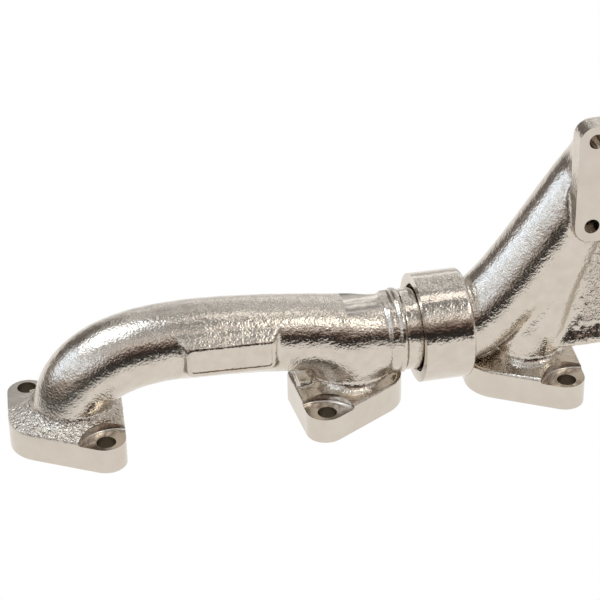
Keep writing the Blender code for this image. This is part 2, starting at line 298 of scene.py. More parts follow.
def rounded_outline(corners, steps=8):
    """The outline through (x, y, radius) corners given anticlockwise, each rounded by an arc."""
    outline = []
    count = len(corners)
    for index, (x, y, radius) in enumerate(corners):
        corner = Vector((x, y))
        into = (corner - Vector(corners[index - 1][:2])).normalized()
        out = (Vector(corners[(index + 1) % count][:2]) - corner).normalized()
        turn = math.acos(max(-1.0, min(1.0, into.dot(out))))
        start = corner - into * (radius * math.tan(turn / 2))
        centre = start + Vector((-into.y, into.x)) * radius
        for step in range(steps + 1):
            outline.append(centre + Matrix.Rotation(turn * step / steps, 2) @ (start - centre))
    return [tuple(point) for point in outline]


def flange_outline(hand):
    """The port flange's outline about its port. Hand 1 has its front bolt on the right."""
    front_normal = (-math.sin(FRONT_EDGE_ANGLE), -math.cos(FRONT_EDGE_ANGLE))
    right_normal = (math.sin(SIDE_EDGE_ANGLE), -math.cos(SIDE_EDGE_ANGLE))
    lines = np.linalg.inv(np.array((front_normal, right_normal)))
    front, side = FRONT_EDGE_OFFSET, SIDE_EDGE_OFFSET
    corners = [
        (*(lines @ (front, -side)), FRONT_CORNER_RADIUS),
        (*(lines @ (front, side)), BOLT_CORNER_RADIUS),
        (*(lines @ (-front, side)), BACK_CORNER_RADIUS),
        (*(lines @ (-front, -side)), BOLT_CORNER_RADIUS),
    ]
    outline = rounded_outline(corners)
    return outline if hand > 0 else [(-x, y) for x, y in reversed(outline)]


def flange(points, port_x, hand):
    """A port flange, whose cast top rises a little from its edge towards the pipe."""
    centred = points[:, :2] - np.array((port_x, 0.0), np.float32)
    edge = outline_distance(centred, flange_outline(hand))
    crown = FLANGE_CROWN * np.clip(-edge / CROWN_WIDTH, 0.0, 1.0)
    return round_cut(edge, points[:, 2] - FLANGE_TOP - crown, 1.6)


def log_path():
    """The pipe's centre line, from inside flange 1 to the start of the spigot."""
    knee = np.array(LOG_KNEE)
    slope = np.array((1.0, 0.0, LOG_SLOPE))
    x, y, z = ELBOW_START
    end = (LOG_END_X, 0.0, JOINT_Z)
    elbow = (ELBOW_START, (x, y, z + ELBOW_RISE), knee - slope * KNEE_HANDLE, knee)
    before_end = (LOG_END_X - LOG_END_HANDLE, 0.0, JOINT_Z)
    return elbow, (knee, knee + slope * LOG_END_HANDLE, before_end, end)


LOG_PATH = log_path()
BELOW_ELBOW = ((ELBOW_START[0], ELBOW_START[1], -9.0), ELBOW_START)
ALONG_SPIGOT = ((LOG_END_X, 0.0, JOINT_Z), (-140.0, 0.0, JOINT_Z))
STUB_LINE = ((PORT_X[1], 0.0, -12.0), (PORT_X[1], 0.0, 52.0))


def end_casting(points):
    """The left end section as cast, solid where negative."""
    log = path_distance(points, LOG_PATH)
    stub = path_distance(points, [STUB_LINE])
    outer = round_union(log - LOG_RADIUS, stub - STUB_RADIUS, STUB_FILLET)
    feet = np.minimum(flange(points, PORT_X[0], 1), flange(points, PORT_X[1], -1))
    outer = round_union(outer, feet, FLANGE_FILLET)
    outer = round_union(outer, label_pad(points), 1.5)
    lug = rounded_box(points, LUG_LOW, LUG_HIGH, 1.6)
    outer = round_union(outer, lug, 2.0)
    spigot = turned_box(points, LOG_END_X - 4.0, SPIGOT_END_X + 4.0, SPIGOT_RADIUS, 1.0)
    outer = round_union(outer, spigot, 3.0)
    bead = turned_box(points, BEAD_X - BEAD_HALF_WIDTH, BEAD_X + BEAD_HALF_WIDTH, BEAD_RADIUS, 1.2)
    outer = round_union(outer, bead, 1.0)
    bore = np.minimum(log, path_distance(points, (BELOW_ELBOW, ALONG_SPIGOT)))
    inner = round_union(bore - BORE_RADIUS, stub - BORE_RADIUS, 5.0)
    return np.maximum.reduce((outer, -inner, BELOW_BASE - points[:, 2]))


def label_pad(points):
    """The raised blank pad on the pipe's front: a thin rim round a flat panel, bevelled above."""
    x = points[:, 0]
    up = points[:, 2] - PAD_HEIGHT - PAD_SLOPE * (x - PAD_X[0])
    depth = -points[:, 1] - PAD_FACE_DEPTH
    across = np.abs(x - sum(PAD_X) / 2) - (PAD_X[1] - PAD_X[0]) / 2
    side = round_cut(across, np.abs(up) - PAD_HALF_HEIGHT, 4.0)
    face = round_cut(side + 0.7 * depth, depth, 0.6)
    above = up - PAD_HALF_HEIGHT
    bevel = (PAD_BEVEL_DEPTH * depth + PAD_BEVEL_HEIGHT * above) / PAD_BEVEL_LENGTH
    ends = across + 0.8 * depth
    wedge = round_cut(round_cut(bevel, ends, 3.0), above - PAD_BEVEL_TOP, 1.0)
    wedge = np.maximum(np.maximum(wedge, depth + 0.5), -up)
    return np.maximum(np.minimum(face, wedge), -PAD_DEPTH - depth)


def tapered(points, sections, radius):
    """Distance to a block along Y, whose (y, x low, x high, z low, z high) changes from end to end."""
    y = points[:, 1]
    stations = [section[0] for section in sections]
    x_low, x_high, z_low, z_high = (
        np.interp(y, stations, [section[side] for section in sections]).astype(np.float32)
        for side in (1, 2, 3, 4)
    )
    across = np.abs(points[:, 0] - (x_low + x_high) / 2) - (x_high - x_low) / 2
    up = np.abs(points[:, 2] - (z_low + z_high) / 2) - (z_high - z_low) / 2
    edge = round_cut(across, up, radius) * 0.8
    return round_cut(edge, np.maximum(stations[0] - y, y - stations[-1]), radius * 0.6)


def chest(points):
    """The block between the two runners, whose face flares into a skirt above its lower edge."""
    block = rounded_box(points, CHEST_LOW, CHEST_HIGH, 2.0)
    y, z = points[:, 1], points[:, 2]
    skirt = (CHEST_LOW[1] + (z - CHEST_LOW[2] - SKIRT_LIP) * SKIRT_SLOPE - y) * 0.95
    return round_cut(block, round_union(CHEST_FACE_Y - y, skirt, 4.0), 1.2)


def centre_casting(points):
    """The centre section as cast, solid where negative. Its right half mirrors its left half."""
    points = np.column_stack((-np.abs(points[:, 0]), points[:, 1:]))
    riser = path_distance(points, [RISER_POINTS])
    bend = path_distance(points, [INLET_BEND_POINTS])
    runner = path_distance(points, [RUNNER_POINTS])
    rib = path_distance(points, [RIB_POINTS])
    rib = rib - RUNNER_RADIUS + RIB_TAPER * np.clip(points[:, 2] - RIB_TAPER_FROM_Z, 0.0, RIB_TAPER_HEIGHT)
    outer = round_union(np.minimum(riser, bend) - RISER_RADIUS, rib * 0.95, 3.5)
    outer = round_union(outer, chest(points), 3.0)
    outer = round_union(outer, tapered(points, NECK_SECTIONS, 14.0), 6.0)
    outline = [(x, z, TURBO_CORNER_RADIUS) for x, z in (
        (-TURBO_HALF_WIDTH, TURBO_Z[0]), (TURBO_HALF_WIDTH, TURBO_Z[0]),
        (TURBO_HALF_WIDTH, TURBO_Z[1]), (-TURBO_HALF_WIDTH, TURBO_Z[1]))]
    edge = outline_distance(points[:, [0, 2]], rounded_outline(outline))
    depth = points[:, 1] - TURBO_FACE_Y
    plate = round_cut(edge, np.maximum(depth - TURBO_THICKNESS, -3.0 - depth), 1.2)
    outer = round_union(outer, plate, 5.0)
    outer = round_union(outer, flange(points, PORT_X[2], 1), FLANGE_FILLET)
    collar = turned_box(points, COLLAR_FACE_X - 3.0, COLLAR_END_X, COLLAR_RADIUS, 2.2)
    outer = round_union(outer, collar, 3.5)
    entry = path_distance(points, [SOCKET_TO_RISER])
    inner = np.minimum(riser, entry) - BORE_RADIUS
    inner = round_union(inner, tapered(points, CHAMBER_SECTIONS, 8.0), 6.0)
    inner = round_union(inner, runner - RUNNER_BORE_RADIUS, 5.0)
    pocket = rounded_box(points, POCKET_LOW, POCKET_HIGH, 8.0)
    inner = np.minimum(inner, pocket)
    return np.maximum.reduce((outer, -inner, BELOW_BASE - points[:, 2]))


# Meshing -------------------------------------------------------------------------------------

def measured(field, points):
    """The field at many points, worked out in even shares side by side."""
    shares = np.array_split(points, len(points) // 30000 + 1)
    with ThreadPoolExecutor() as pool:
        return np.concatenate(list(pool.map(field, shares)))


def lattice(low, steps, cell):
    axes = [low[axis] + cell * np.arange(steps[axis], dtype=np.float32) for axis in range(3)]
    grid = np.stack(np.meshgrid(*axes, indexing="ij"), axis=-1)
    return grid.reshape(-1, 3).astype(np.float32)


def sample(field, low, high):
    """The field on a fine lattice, worked out only in the blocks that the surface may cross."""
    low = np.array(low, np.float32)
    blocks = np.ceil((high - low) / (CELL * BLOCK)).astype(int)
    coarse = measured(field, lattice(low, blocks + 1, CELL * BLOCK)).reshape(blocks + 1)
    corners = [
        coarse[i:blocks[0] + i, j:blocks[1] + j, k:blocks[2] + k]
        for i, j, k in itertools.product((0, 1), repeat=3)
    ]
    fine = blocks * BLOCK + 1
    values, near = coarse, np.min(np.abs(corners), axis=0) < CELL * BLOCK * 1.3
    for axis in range(3):
        values = np.repeat(values, BLOCK, axis=axis)
        near = np.repeat(near, BLOCK, axis=axis)
    values = values[:fine[0], :fine[1], :fine[2]].copy()
    wanted = np.zeros(fine, bool)
    for i, j, k in itertools.product((0, 1), repeat=3):
        wanted[i:fine[0] - 1 + i, j:fine[1] - 1 + j, k:fine[2] - 1 + k] |= near
    places = np.argwhere(wanted)
    values[tuple(places.T)] = measured(field, (low + places * CELL).astype(np.float32))
    return values, low


def surface_net(values, low):
    """A quad mesh of the zero surface: one point in each crossed cell, one face for each crossed edge."""
    inside = values < 0.0
    shape = np.array(values.shape) - 1
    offsets = list(itertools.product((0, 1), repeat=3))
    count = np.zeros(shape, np.int8)
    for i, j, k in offsets:
        count += inside[i:shape[0] + i, j:shape[1] + j, k:shape[2] + k]
    crossed = (count > 0) & (count < 8)
    cells = np.argwhere(crossed)
    number = np.full(shape, -1, np.int32)
    number[crossed] = np.arange(len(cells))
    total = np.zeros((len(cells), 3))
    hits = np.zeros((len(cells), 1))
    for axis in range(3):
        for offset in offsets:
            if offset[axis]:
                continue
            near = cells + offset
            far = near.copy()
            far[:, axis] += 1
            a, b = values[tuple(near.T)], values[tuple(far.T)]
            cut = ((a < 0.0) != (b < 0.0))[:, None]
            spot = np.tile(np.array(offset, float), (len(cells), 1))
            spot[:, axis] = a / np.where(a == b, 1.0, a - b)
            total += np.where(cut, spot, 0.0)
            hits += cut
    points = low + CELL * (cells + total / hits)
    quads = []
    for axis in range(3):
        one, two = (axis + 1) % 3, (axis + 2) % 3
        low_side = [slice(1, steps - 1) for steps in values.shape]
        low_side[axis] = slice(0, values.shape[axis] - 1)
        high_side = list(low_side)
        high_side[axis] = slice(1, values.shape[axis])
        first, second = inside[tuple(low_side)], inside[tuple(high_side)]
        for flip in (False, True):
            places = np.argwhere(second & ~first if flip else first & ~second)
            places += [0 if index == axis else 1 for index in range(3)]
            ring = []
            for back_one, back_two in ((0, 0), (1, 0), (1, 1), (0, 1)):
                cell = places.copy()
                cell[:, one] -= back_one
                cell[:, two] -= back_two
                ring.append(number[tuple(cell.T)])
            quad = np.stack(ring, axis=1)
            quads.append(quad[:, ::-1] if flip else quad)
    return points, np.vstack(quads), cells


def closed_net(values, low):
    """The surface net, after filling any spot where more than two faces would share an edge."""
    for _ in range(12):
        points, quads, cells = surface_net(values, low)
        edges = np.sort(np.stack((quads, np.roll(quads, -1, axis=1)), axis=2).reshape(-1, 2), axis=1)
        edges, uses = np.unique(edges, axis=0, return_counts=True)
        pinched = np.unique(edges[uses > 2])
        if not len(pinched):
            return points, quads
        for x, y, z in cells[pinched]:
            corners = values[x:x + 2, y:y + 2, z:z + 2]
            open_corners = np.where(corners > 0.0, corners, np.inf)
            corners[np.unravel_index(open_corners.argmin(), corners.shape)] = -0.01
    return points, quads


def settle(field, points, reach=0.08):
    """Moves points onto the zero surface and returns them with the surface's outward direction."""
    slope, middle = 0.0, 0.0
    for corner in ((1, 1, 1), (1, -1, -1), (-1, 1, -1), (-1, -1, 1)):
        shift = np.array(corner, np.float32)
        height = measured(field, points + shift * reach)
        slope = slope + height[:, None] * shift / (4 * reach)
        middle = middle + height / 4
    size = np.maximum(np.einsum("ij,ij->i", slope, slope), 0.3)[:, None]

    def moved(points, height):
        step = np.clip(height[:, None] / size, -0.5 * CELL, 0.5 * CELL)
        return (points - step * slope).astype(np.float32)

    points = moved(points, middle)
    points = moved(points, measured(field, points))
    return points, slope / np.maximum(np.linalg.norm(slope, axis=1, keepdims=True), 1e-6)


def value_noise(points, scale, seed):
    """Smooth random values from -1 to 1, with bumps about this many millimetres across."""
    table = np.random.default_rng(seed).uniform(-1.0, 1.0, 4096)
    place = points / scale
    cell = np.floor(place).astype(np.int64)
    part = place - cell
    part = part * part * (3.0 - 2.0 * part)
    total = 0.0
    for i, j, k in itertools.product((0, 1), repeat=3):
        key = np.bitwise_xor.reduce((cell + (i, j, k)) * NOISE_PRIMES, axis=1)
        weight = np.ones(len(points))
        for axis, upper in enumerate((i, j, k)):
            weight *= part[:, axis] if upper else 1.0 - part[:, axis]
        total = total + weight * table[key & 4095]
    return total


def mesh_casting(name, field, low, high, roughness):
    """A casting meshed from its field, with the cast skin's relief, kept inside the CAD box."""
    values, low = sample(field, low, high)
    points, quads = closed_net(values, low)
    points, outward = settle(field, points.astype(np.float32))
    skin = SKIN_DEPTH * value_noise(points, 7.0, 3) + FINE_SKIN_DEPTH * value_noise(points, 3.4, 5)
    coarse = value_noise(points, 3.0, 11)
    relief = (skin + COARSE_DEPTH * roughness(points) * coarse) * cast_mask(points)
    points = points + outward * relief[:, None]
    least, most = (np.array(corner) / MM for corner in CAD_BOX)
    least[2] = BELOW_BASE
    return new_object(name, np.clip(points, least, most), quads)


def cast_mask(points):
    """1 on the rough cast skin and 0 on turned or machined stretches."""
    along = np.abs(points[:, 0])
    spigot_start = abs(BEAD_X) + 2.0
    on_joint = (along < spigot_start) & (along > abs(COLLAR_END_X) - 2.0)
    on_side = points[:, 2] < FLANGE_TOP - 1.2
    return np.where(on_side, 0.0, np.where(on_joint, 0.12, 1.0))


def linked(name, data):
    """A new object in the scene that shows this mesh or holds this camera."""
    made = bpy.data.objects.new(name, data)
    bpy.context.scene.collection.objects.link(made)
    return made


def new_object(name, points, faces):
    mesh = bpy.data.meshes.new(name)
    faces = np.asarray(faces)
    mesh.vertices.add(len(points))
    mesh.vertices.foreach_set("co", (np.asarray(points) * MM).astype(np.float32).ravel())
    mesh.loops.add(faces.size)
    mesh.loops.foreach_set("vertex_index", faces.astype(np.int32).ravel())
    mesh.polygons.add(len(faces))
    mesh.polygons.foreach_set("loop_start", np.arange(0, faces.size, faces.shape[1], dtype=np.int32))
    mesh.update(calc_edges=True)
    mesh.validate()
    return linked(name, mesh)


# Machining -----------------------------------------------------------------------------------

def join_rings(rings):
    """A closed solid through equal rings of points, as (points, faces)."""
    count = len(rings[0])
    points = [tuple(point) for ring in rings for point in ring]
    faces = [list(range(count))[::-1], list(range(len(points) - count, len(points)))]
    for level in range(len(rings) - 1):
        base = level * count
        for step in range(count):
            after = (step + 1) % count
            faces.append((base + step, base + after, base + count + after, base + count + step))
    return points, faces


def pad_panel():
    """The shallow recess that leaves a thin rim round the pad's face."""
    corners = []
    for x, up in ((PAD_X[0], -1), (PAD_X[1], -1), (PAD_X[1], 1), (PAD_X[0], 1)):
        inset = PAD_RIM if x == PAD_X[0] else -PAD_RIM
        middle = PAD_HEIGHT + PAD_SLOPE * (x - PAD_X[0])
        corners.append((x + inset, middle + up * (PAD_HALF_HEIGHT - PAD_RIM), 2.5))
    depth = PAD_FACE_DEPTH - PAD_PANEL_DEPTH
    return across_y(rounded_outline(corners), -PAD_FACE_DEPTH - 6.0, -depth)


def solid_mesh(name, solids):
    """One mesh of separate closed solids, each given as (points, faces) in millimetres."""
    shape = bmesh.new()
    for points, faces in solids:
        made = [shape.verts.new([value * MM for value in point]) for point in points]
        for face in faces:
            shape.faces.new([made[index] for index in face])
    bmesh.ops.recalc_face_normals(shape, faces=shape.faces)
    mesh = bpy.data.meshes.new(name)
    shape.to_mesh(mesh)
    shape.free()
    return mesh


def circle(x, y, radius, sides=64):
    angles = np.linspace(0.0, 2 * math.pi, sides, endpoint=False)
    return [(x + radius * math.cos(angle), y + radius * math.sin(angle)) for angle in angles]


def upright(outline, z_low, z_high):
    return join_rings([[(x, y, z) for x, y in outline] for z in (z_low, z_high)])


def end_mill(x, y, radius, z_low, z_high, foot=1.8, sides=160):
    """A round cutter's path straight down, with a rounded lower edge."""
    levels = [(z_low + foot * (1 - math.cos(a)), radius - foot * (1 - math.sin(a)))
              for a in np.linspace(0.0, math.pi / 2, 7)]
    levels.append((z_high, radius))
    return join_rings([[(px, py, z) for px, py in circle(x, y, r, sides)] for z, r in levels])


def across_y(outline, y_low, y_high):
    return join_rings([[(x, y, z) for x, z in outline] for y in (y_low, y_high)])


def turned(profile, sides=128):
    """A solid turned about the slip joint's axis from (x, radius) pairs."""
    rings = []
    for x, radius in profile:
        rings.append([(x, y, JOINT_Z + z) for y, z in circle(0.0, 0.0, radius, sides)])
    return join_rings(rings)


def turned_ring(x_low, x_high, inner, outer, sides=128):
    """A square-section ring about the slip joint's axis."""
    profile = ((x_low, inner), (x_high, inner), (x_high, outer), (x_low, outer))
    points, faces = [], []
    for x, radius in profile:
        points += [(x, y, JOINT_Z + z) for y, z in circle(0.0, 0.0, radius, sides)]
    for part in range(4):
        base, over = part * sides, (part + 1) % 4 * sides
        for step in range(sides):
            after = (step + 1) % sides
            faces.append((base + step, base + after, over + after, over + step))
    return points, faces


def box(low, high):
    outline = ((low[0], low[1]), (high[0], low[1]), (high[0], high[1]), (low[0], high[1]))
    return upright(outline, low[2], high[2])


def cut(target, name, solids, surface=MACHINED):
    """Takes the solids out of the target with one Boolean, which leaves this kind of surface."""
    tool = linked(name, solid_mesh(name, solids))
    tool.data.polygons.foreach_set("material_index", [surface] * len(tool.data.polygons))
    for part in (target, tool):
        if not part.data.materials:
            part.data.materials.append(MATERIALS["cast"])
            part.data.materials.append(MATERIALS["machined"])
    modifier = target.modifiers.new(name, "BOOLEAN")
    modifier.operation = "DIFFERENCE"
    modifier.solver = "MANIFOLD"
    modifier.object = tool
    graph = bpy.context.evaluated_depsgraph_get()
    result = bpy.data.meshes.new_from_object(target.evaluated_get(graph))
    target.modifiers.clear()
    old = target.data
    target.data = result
    bpy.data.meshes.remove(old)
    bpy.data.objects.remove(tool, do_unlink=True)


def bolt_centre(port, place):
    low, high = OPENINGS[f"port_{port}_{place}_bolt_hole"]
    return (low + high)[:2] / 2


def machine_flange(target, port, hand):
    """The bolt holes and the spot faces of one port flange."""
    port_x = MOUNTS[f"port_{port}_face"][0]
    top = FLANGE_TOP + 12.0
    holes, spots = [], []
    for end, place in ((1, "front"), (-1, "back")):
        x, y = bolt_centre(port, place)
        holes.append(upright(circle(x, y, BOLT_HOLE_RADIUS), -9.0, top))
        spot_x = x + hand * end * SPOT_CUTTER_OFFSET[0]
        spot_y = y + end * SPOT_CUTTER_OFFSET[1]
        spots.append(end_mill(spot_x, spot_y, SPOT_CUTTER_RADIUS, SPOT_FACE_Z, top))
    x_low, x_high = sorted((port_x - hand * 60.0, port_x + hand * BACK_SPOT_EDGE[0]))
    corner = [box((x_low, BACK_SPOT_EDGE[1], SPOT_FACE_Z), (x_high, 60.0, top))]
    cut(target, f"spots_{port}", spots)
    cut(target, f"corner_{port}", corner)
    cut(target, f"holes_{port}", holes)


def mill_flange_sides(mesh, ports):
    """Marks the upright sides of the port flanges as machined."""
    for face in mesh.polygons:
        if face.center.z < (SPOT_FACE_Z + 1.4) * MM and abs(face.normal.z) < 0.4:
            reach = min(math.hypot(face.center.x - x * MM, face.center.y) for x in ports)
            if reach > (BORE_RADIUS + 4.0) * MM:
                face.material_index = MACHINED


def finish_casting(piece, body, node):
    mesh = piece.data
    mill_flange_sides(mesh, [place[0] for name, place in MOUNTS.items() if "port" in name])
    mesh.shade_smooth()
    mesh.set_sharp_from_angle(angle=math.radians(38))
    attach(piece, body)
    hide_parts(node)


def end_section():
    low, high = (np.array(corner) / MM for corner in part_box("left_section"))
    low, high = low - 4.0, high + 6.0
    piece = mesh_casting("left_casting", end_casting, low, high, flange_roughness)
    low, high = low - 9.0, high + 9.0
    cut(piece, "base", [box((low[0], low[1], -20.0), (high[0], high[1], 0.0))])
    nose = [(SPIGOT_END_X, 60.0), (SPIGOT_END_X + 20.0, 60.0)]
    cut(piece, "nose", [turned(nose)])
    cut(piece, "top_flat", [box((TOP_FLAT_X[0], -20.0, TOP_FLAT_Z), (TOP_FLAT_X[1], 20.0, 110.0))])
    cut(piece, "panel", [pad_panel()], CAST)
    grooves = []
    for index in (1, 2, 3):
        ring_low, ring_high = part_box(f"left_seal_ring_{index}")
        middle = (ring_low.x + ring_high.x) / 2 / MM
        edges = (middle - GROOVE_WIDTH / 2, middle + GROOVE_WIDTH / 2)
        grooves.append(turned_ring(*edges, GROOVE_RADIUS, SPIGOT_RADIUS + 1.0))
    cut(piece, "grooves", grooves)
    machine_flange(piece, 1, 1)
    machine_flange(piece, 2, -1)
    return piece


def flange_roughness(points):
    on_top = np.clip((31.0 - points[:, 2]) / 5.0, 0.0, 1.0) * (points[:, 2] > 20.5)
    return on_top * np.where(np.abs(points[:, 0]) > COARSE_FROM_X, 0.7, 0.15)


def centre_roughness(points):
    on_chest = (np.abs(points[:, 0]) < 66.0) & (points[:, 2] < 124.0) & (points[:, 2] > 34.0)
    return np.maximum(flange_roughness(points), np.where(on_chest, COARSE_CHEST, 0.0))


def centre_section():
    low, high = (np.array(corner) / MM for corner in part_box("centre_section"))
    low, high = low - 5.0, high + 4.0
    piece = mesh_casting("centre_casting", centre_casting, low, high, centre_roughness)
    low, high = low - 9.0, high + 9.0
    cut(piece, "base", [box((low[0], low[1], -20.0), (high[0], high[1], 0.0))])
    face = box((-90.0, TURBO_FACE_Y - 20.0, 112.0), (90.0, TURBO_FACE_Y, 230.0))
    cut(piece, "turbine_face", [face])
    studs = []
    for side, level in itertools.product(("left", "right"), ("low", "high")):
        corner_low, corner_high = OPENINGS[f"{side}_{level}_stud_hole"]
        x, _, z = (corner_low + corner_high) / 2
        studs.append(across_y(circle(x, z, STUD_HOLE_RADIUS), TURBO_FACE_Y - 5.0, TURBO_FACE_Y + 17.0))
    cut(piece, "studs", studs)
    for side in (1, -1):
        ends = [(side * (COLLAR_FACE_X - 20.0), 60.0), (side * COLLAR_FACE_X, 60.0)]
        cut(piece, "collar_face", [turned(ends)])
        profile = [(COLLAR_FACE_X - 5.0, SOCKET_RADIUS + 5.8), (COLLAR_FACE_X + 0.8, SOCKET_RADIUS)]
        profile.append((SOCKET_BOTTOM_X, SOCKET_RADIUS))
        cut(piece, "socket", [turned([(side * x, radius) for x, radius in profile])])
    machine_flange(piece, 3, 1)
    machine_flange(piece, 4, -1)
    return piece


def mirror_copy(piece, name):
    mesh = piece.data.copy()
    mesh.name = name
    mesh.transform(Matrix.Scale(-1.0, 4, (1.0, 0.0, 0.0)))
    mesh.flip_normals()
    return linked(name, mesh)


# Materials -----------------------------------------------------------------------------------

def new_material(name, colour, roughness, metallic=1.0):
    material = bpy.data.materials.new(name)
    material.use_nodes = True
    shader = material.node_tree.nodes["Principled BSDF"]
    shader.inputs["Base Color"].default_value = (*colour, 1.0)
    shader.inputs["Metallic"].default_value = metallic
    shader.inputs["Roughness"].default_value = roughness
    return material, shader


class Nodes:
    """Short calls for the nodes of a material or of the world."""

    def __init__(self, tree, place="Object"):
        self.tree = tree
        self.place = self.add("ShaderNodeTexCoord").outputs[place]

    def add(self, kind, **settings):
        node = self.tree.nodes.new(kind)
        for key, value in settings.items():
            setattr(node, key, value)
        return node

    def feed(self, value, socket):
        """Links another node's output to the socket, or sets a number on it."""
        if isinstance(value, float):
            socket.default_value = value
        else:
            self.tree.links.new(value, socket)

    def axes(self):
        """The place's X, Y and Z."""
        node = self.add("ShaderNodeSeparateXYZ")
        self.tree.links.new(self.place, node.inputs[0])
        return node.outputs

    def along(self, way):
        """How far the place lies this way."""
        node = self.add("ShaderNodeVectorMath", operation="DOT_PRODUCT")
        self.tree.links.new(self.place, node.inputs[0])
        node.inputs[1].default_value = way
        return node.outputs["Value"]

    def noise(self, size_mm, detail=2.0, seed=0.0):
        """Noise with grains about this many millimetres across."""
        node = self.add("ShaderNodeTexNoise", noise_dimensions="4D")
        self.tree.links.new(self.place, node.inputs["Vector"])
        node.inputs["Scale"].default_value = 1.0 / (size_mm * MM)
        node.inputs["Detail"].default_value = detail
        node.inputs["W"].default_value = seed
        return node.outputs["Fac"]

    def math(self, operation, *values):
        node = self.add("ShaderNodeMath", operation=operation)
        for value, socket in zip(values, node.inputs):
            self.feed(value, socket)
        return node.outputs[0]

    def blend(self, share, first, second, kind="RGBA", **settings):
        node = self.add("ShaderNodeMix", data_type=kind, **settings)
        used = [socket for socket in node.inputs if socket.enabled]
        for value, socket in zip((share, first, second), used):
            self.feed(value, socket)
        return [socket for socket in node.outputs if socket.enabled][0]

    def ramp(self, source, stops):
        node = self.add("ShaderNodeValToRGB")
        elements = node.color_ramp.elements
        while len(elements) < len(stops):
            elements.new(0.5)
        for element, (position, value) in zip(elements, stops):
            element.position = position
            colour = value if isinstance(value, tuple) else (value, value, value)
            element.color = (*colour, 1.0)
        self.tree.links.new(source, node.inputs["Fac"])
        return node.outputs["Color"]

    def even(self, colour):
        """The same colour everywhere, for a stage or the world."""
        return self.ramp(self.place, ((0.0, colour), (1.0, colour)))

    def bump(self, height, distance_mm, strength=1.0, under=None):
        node = self.add("ShaderNodeBump")
        self.feed(strength, node.inputs["Strength"])
        node.inputs["Distance"].default_value = distance_mm * MM
        self.tree.links.new(height, node.inputs["Height"])
        if under is not None:
            self.tree.links.new(under, node.inputs["Normal"])
        return node.outputs["Normal"]


def coarse_places(nodes):
    """1 on the flange tops and the central block, where the casting is coarser."""
    x, _, z = nodes.axes()
    tens = nodes.math("MULTIPLY", z, 10.0)
    flange_tops = nodes.ramp(tens, ((0.20, 0.0), (0.215, 1.0), (0.26, 1.0), (0.32, 0.0)))
    fives = nodes.math("MULTIPLY", z, 5.0)
    chest_height = nodes.ramp(fives, ((0.24, 0.0), (0.26, 1.0), (0.60, 1.0), (0.64, 0.0)))
    sideways = nodes.math("ABSOLUTE", x)
    middle = nodes.ramp(nodes.math("MULTIPLY", sideways, 5.0), ((0.27, 1.0), (0.345, 0.0)))
    end_flanges = nodes.math("GREATER_THAN", sideways, COARSE_FROM_X * MM)
    outermost = nodes.math("MULTIPLY", flange_tops, end_flanges)
    return nodes.math("MAXIMUM", outermost, nodes.math("MULTIPLY", chest_height, middle))


def joint_smoothness(nodes):
    """How deep the grain is: full on the cast skin, half on the turned collars and spigots."""
    sideways = nodes.math("MULTIPLY", nodes.math("ABSOLUTE", nodes.axes()["X"]), 5.0)
    return nodes.ramp(sideways, ((0.71, 1.0), (0.725, 0.5), (0.96, 0.5), (0.98, 1.0)))


def cast_material():
    material, shader = new_material("cast_coating", (0.62, 0.56, 0.50), 0.2)
    nodes = Nodes(material.node_tree)
    links = material.node_tree.links
    tints = ((0.35, (0.60, 0.545, 0.48)), (0.65, (0.65, 0.60, 0.535)))
    tint = nodes.ramp(nodes.noise(9.0, 3.0), tints)
    links.new(tint, shader.inputs["Base Color"])
    gloss = nodes.ramp(nodes.noise(2.2, 2.0, 3.0), ((0.35, 0.05), (0.7, 0.13)))
    links.new(gloss, shader.inputs["Roughness"])
    broad = nodes.bump(nodes.noise(4.2, 1.0, 1.0), 0.24)
    grain = nodes.bump(nodes.noise(1.6, 2.0, 2.0), 0.32, joint_smoothness(nodes), broad)
    pits = nodes.bump(nodes.noise(2.4, 2.0, 4.0), 2.6, 1.0, grain)
    links.new(nodes.blend(coarse_places(nodes), grain, pits, "VECTOR"), shader.inputs["Normal"])
    return material


def machined_material():
    material, shader = new_material("machined_coating", (0.62, 0.56, 0.50), 0.3)
    nodes = Nodes(material.node_tree)
    links = material.node_tree.links
    tints = ((0.35, (0.60, 0.545, 0.485)), (0.65, (0.64, 0.59, 0.53)))
    tint = nodes.ramp(nodes.noise(14.0, 3.0, 7.0), tints)
    links.new(tint, shader.inputs["Base Color"])
    gloss = nodes.ramp(nodes.noise(5.0, 2.0, 5.0), ((0.35, 0.13), (0.7, 0.20)))
    links.new(gloss, shader.inputs["Roughness"])
    links.new(nodes.bump(nodes.noise(6.0, 2.0, 6.0), 0.05), shader.inputs["Normal"])
    return material


def ring_material():
    material, shader = new_material("ring_metal", (0.16, 0.16, 0.165), 0.35)
    nodes = Nodes(material.node_tree)
    links = material.node_tree.links
    gloss = nodes.ramp(nodes.noise(2.0, 2.0, 9.0), ((0.3, 0.28), (0.7, 0.45)))
    links.new(gloss, shader.inputs["Roughness"])
    tints = ((0.3, (0.15, 0.15, 0.155)), (0.7, (0.20, 0.195, 0.19)))
    tint = nodes.ramp(nodes.noise(5.0, 2.0, 8.0), tints)
    links.new(tint, shader.inputs["Base Color"])
    return material


# Seal rings ----------------------------------------------------------------------------------

